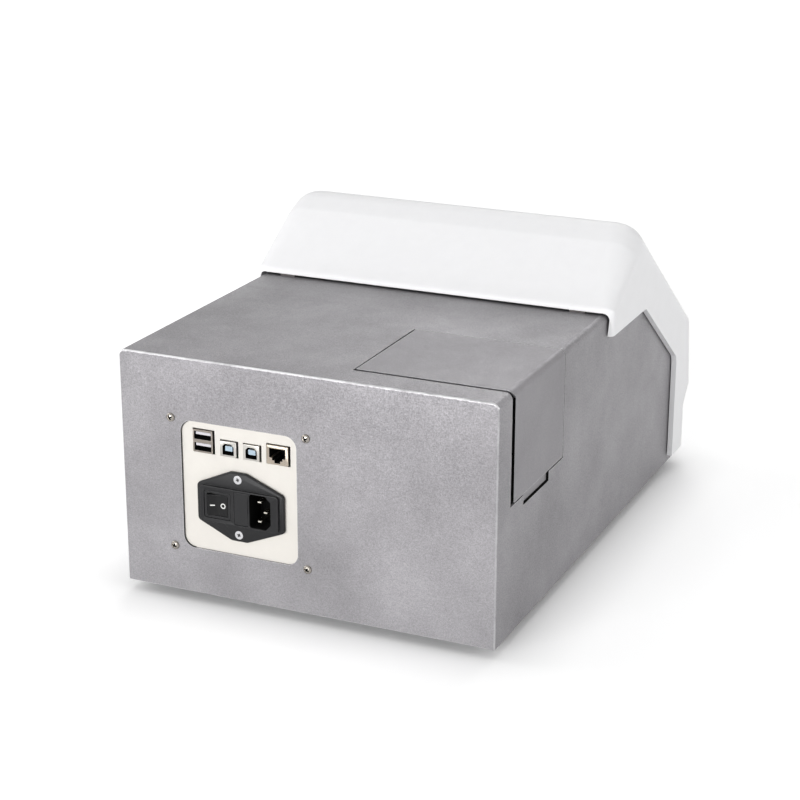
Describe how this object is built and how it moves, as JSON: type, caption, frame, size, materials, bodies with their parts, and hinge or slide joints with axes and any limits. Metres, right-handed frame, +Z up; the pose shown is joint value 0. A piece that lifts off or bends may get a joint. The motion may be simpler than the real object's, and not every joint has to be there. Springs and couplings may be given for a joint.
{
  "type": "microplate reader",
  "caption": "Bench-top enzyme immunoassay analyzer with a powder-coated case, a hinged lamp access cover, a moulded front with a sloped touch screen, a plate drawer and rear connectors.",
  "frame": {"origin": "on the table, in the middle of the overall box", "axes": "+Z up, the front and its plate drawer face -Y, the connector field faces +Y"},
  "size_m": [0.286, 0.4278, 0.2287],
  "materials": {
    "case_shell": "speckled powder coat",
    "base_plate": "zinc plated",
    "case_screws": "nickel plated",
    "rubber_feet": "matte",
    "finger_recess": "powder coat",
    "access_cover": "speckled powder coat",
    "hinge_brackets": "zinc plated",
    "hinge_pins": "bright",
    "front_cover": "satin gloss",
    "lip_pads": "matte",
    "front_bulkhead": "zinc plated",
    "touch_glass": "polished",
    "display_panel": "dark panel with a steel frame",
    "display_board": "circuit board",
    "io_plate": "off-white enamel",
    "io_plate_screws": "nickel plated",
    "usb_a_socket": "tin plated",
    "usb_tongues": "white and pale blue",
    "usb_b_sockets": "tin plated",
    "network_socket": "tin plated shell, black insert",
    "inlet_housing": "fine matte",
    "inlet_pins": "nickel plated",
    "inlet_screws": "zinc plated",
    "power_rocker": "satin",
    "fuse_drawer": "fine matte",
    "fuses": "clear with nickel caps",
    "main_board": "green solder mask",
    "board_parts": "black packages",
    "board_tray": "mill finish",
    "spacers": "nickel plated",
    "power_board": "brown laminate",
    "power_parts": "mixed packages",
    "lamp_bracket": "mill finish",
    "lamp_house": "black anodised",
    "lamp_socket": "ceramic",
    "halogen_lamp": "clear quartz",
    "lamp_fan": "matte",
    "fan_rotor": "matte",
    "glass_lenses": "polished",
    "optics_plate": "black anodised",
    "filter_motor": "black cap, bright laminations",
    "filter_wheel": "black anodised",
    "optical_filters": "coated",
    "light_collector": "anodised",
    "light_guides": "black jacket",
    "optics_head": "black anodised",
    "detector_board": "green solder mask",
    "photodiodes": "gilt cans",
    "guide_rods": "ground",
    "rod_blocks": "milled",
    "plate_carrier": "black anodised",
    "carrier_bushes": "sintered bronze",
    "plate_spring": "spring steel",
    "drawer_front": "satin gloss",
    "belt_clamp": "milled",
    "drive_motor": "black cap, bright laminations",
    "motor_bracket": "mill finish",
    "drive_pulley": "machined",
    "idler_pulley": "machined",
    "drive_belt": "matte"
  },
  "bodies": {
    "case": {"case_shell": "case_shell", "base_plate": "base_plate", "case_screws": "case_screws", "rubber_feet": "rubber_feet", "finger_recess": "finger_recess", "hinge_brackets": "hinge_brackets", "hinge_pins": "hinge_pins", "front_cover": "front_cover", "lip_pads": "lip_pads", "front_bulkhead": "front_bulkhead", "touch_glass": "touch_glass", "display_panel": "display_panel", "display_board": "display_board", "io_plate": "io_plate", "io_plate_screws": "io_plate_screws", "usb_a_socket": "usb_a_socket", "usb_tongues": "usb_tongues", "usb_b_sockets": "usb_b_sockets", "network_socket": "network_socket", "inlet_housing": "inlet_housing", "inlet_pins": "inlet_pins", "inlet_screws": "inlet_screws", "main_board": "main_board", "board_parts": "board_parts", "board_tray": "board_tray", "spacers": "spacers", "power_board": "power_board", "power_parts": "power_parts", "lamp_bracket": "lamp_bracket", "lamp_house": "lamp_house", "lamp_socket": "lamp_socket", "halogen_lamp": "halogen_lamp", "lamp_fan": "lamp_fan", "glass_lenses": "glass_lenses", "optics_plate": "optics_plate", "filter_motor": "filter_motor", "light_collector": "light_collector", "light_guides": "light_guides", "optics_head": "optics_head", "detector_board": "detector_board", "photodiodes": "photodiodes", "guide_rods": "guide_rods", "rod_blocks": "rod_blocks", "drive_motor": "drive_motor", "motor_bracket": "motor_bracket", "drive_belt": "drive_belt"},
    "access_cover": {"access_cover": "access_cover"},
    "power_rocker": {"power_rocker": "power_rocker"},
    "fuse_drawer": {"fuse_drawer": "fuse_drawer", "fuses": "fuses"},
    "plate_transport": {"plate_carrier": "plate_carrier", "carrier_bushes": "carrier_bushes", "plate_spring": "plate_spring", "drawer_front": "drawer_front", "belt_clamp": "belt_clamp"},
    "drive_pulley": {"drive_pulley": "drive_pulley"},
    "idler_pulley": {"idler_pulley": "idler_pulley"},
    "filter_wheel": {"filter_wheel": "filter_wheel", "optical_filters": "optical_filters"},
    "fan_rotor": {"fan_rotor": "fan_rotor"}
  },
  "joints": [
    {"name": "access_hinge", "type": "hinge", "parent": "case", "child": "access_cover", "pos_m": [-0.018, 0.13476, 0.1725], "axis": [0, 1, 0], "range_deg": [0, 90]},
    {"name": "power_switch", "type": "hinge", "parent": "case", "child": "power_rocker", "pos_m": [0.0632, 0.20861, 0.077], "axis": [0, 0, -1], "range_deg": [0, 20]},
    {"name": "fuse_slide", "type": "slide", "parent": "case", "child": "fuse_drawer", "axis": [0, 1, 0], "range_m": [0, 0.016]},
    {"name": "plate_slide", "type": "slide", "parent": "case", "child": "plate_transport", "axis": [0, -1, 0], "range_m": [-0.099, 0.138]},
    {"name": "drive_spin", "type": "hinge", "parent": "case", "child": "drive_pulley", "pos_m": [0.061, 0.14211, 0.0295], "axis": [1, 0, 0], "continuous": true},
    {"name": "idler_spin", "type": "hinge", "parent": "case", "child": "idler_pulley", "pos_m": [0.061, -0.16989, 0.0295], "axis": [1, 0, 0], "continuous": true},
    {"name": "filter_spin", "type": "hinge", "parent": "case", "child": "filter_wheel", "pos_m": [-0.078, 0.10211, 0.096], "axis": [0, 1, 0], "continuous": true},
    {"name": "fan_spin", "type": "hinge", "parent": "case", "child": "fan_rotor", "pos_m": [-0.091, 0.13511, 0.017], "axis": [0, 0, 1], "continuous": true}
  ],
  "couplings": [
    {"joint": "drive_spin", "follows": "plate_slide", "rad_per_m": 157},
    {"joint": "idler_spin", "follows": "plate_slide", "rad_per_m": 157}
  ]
}
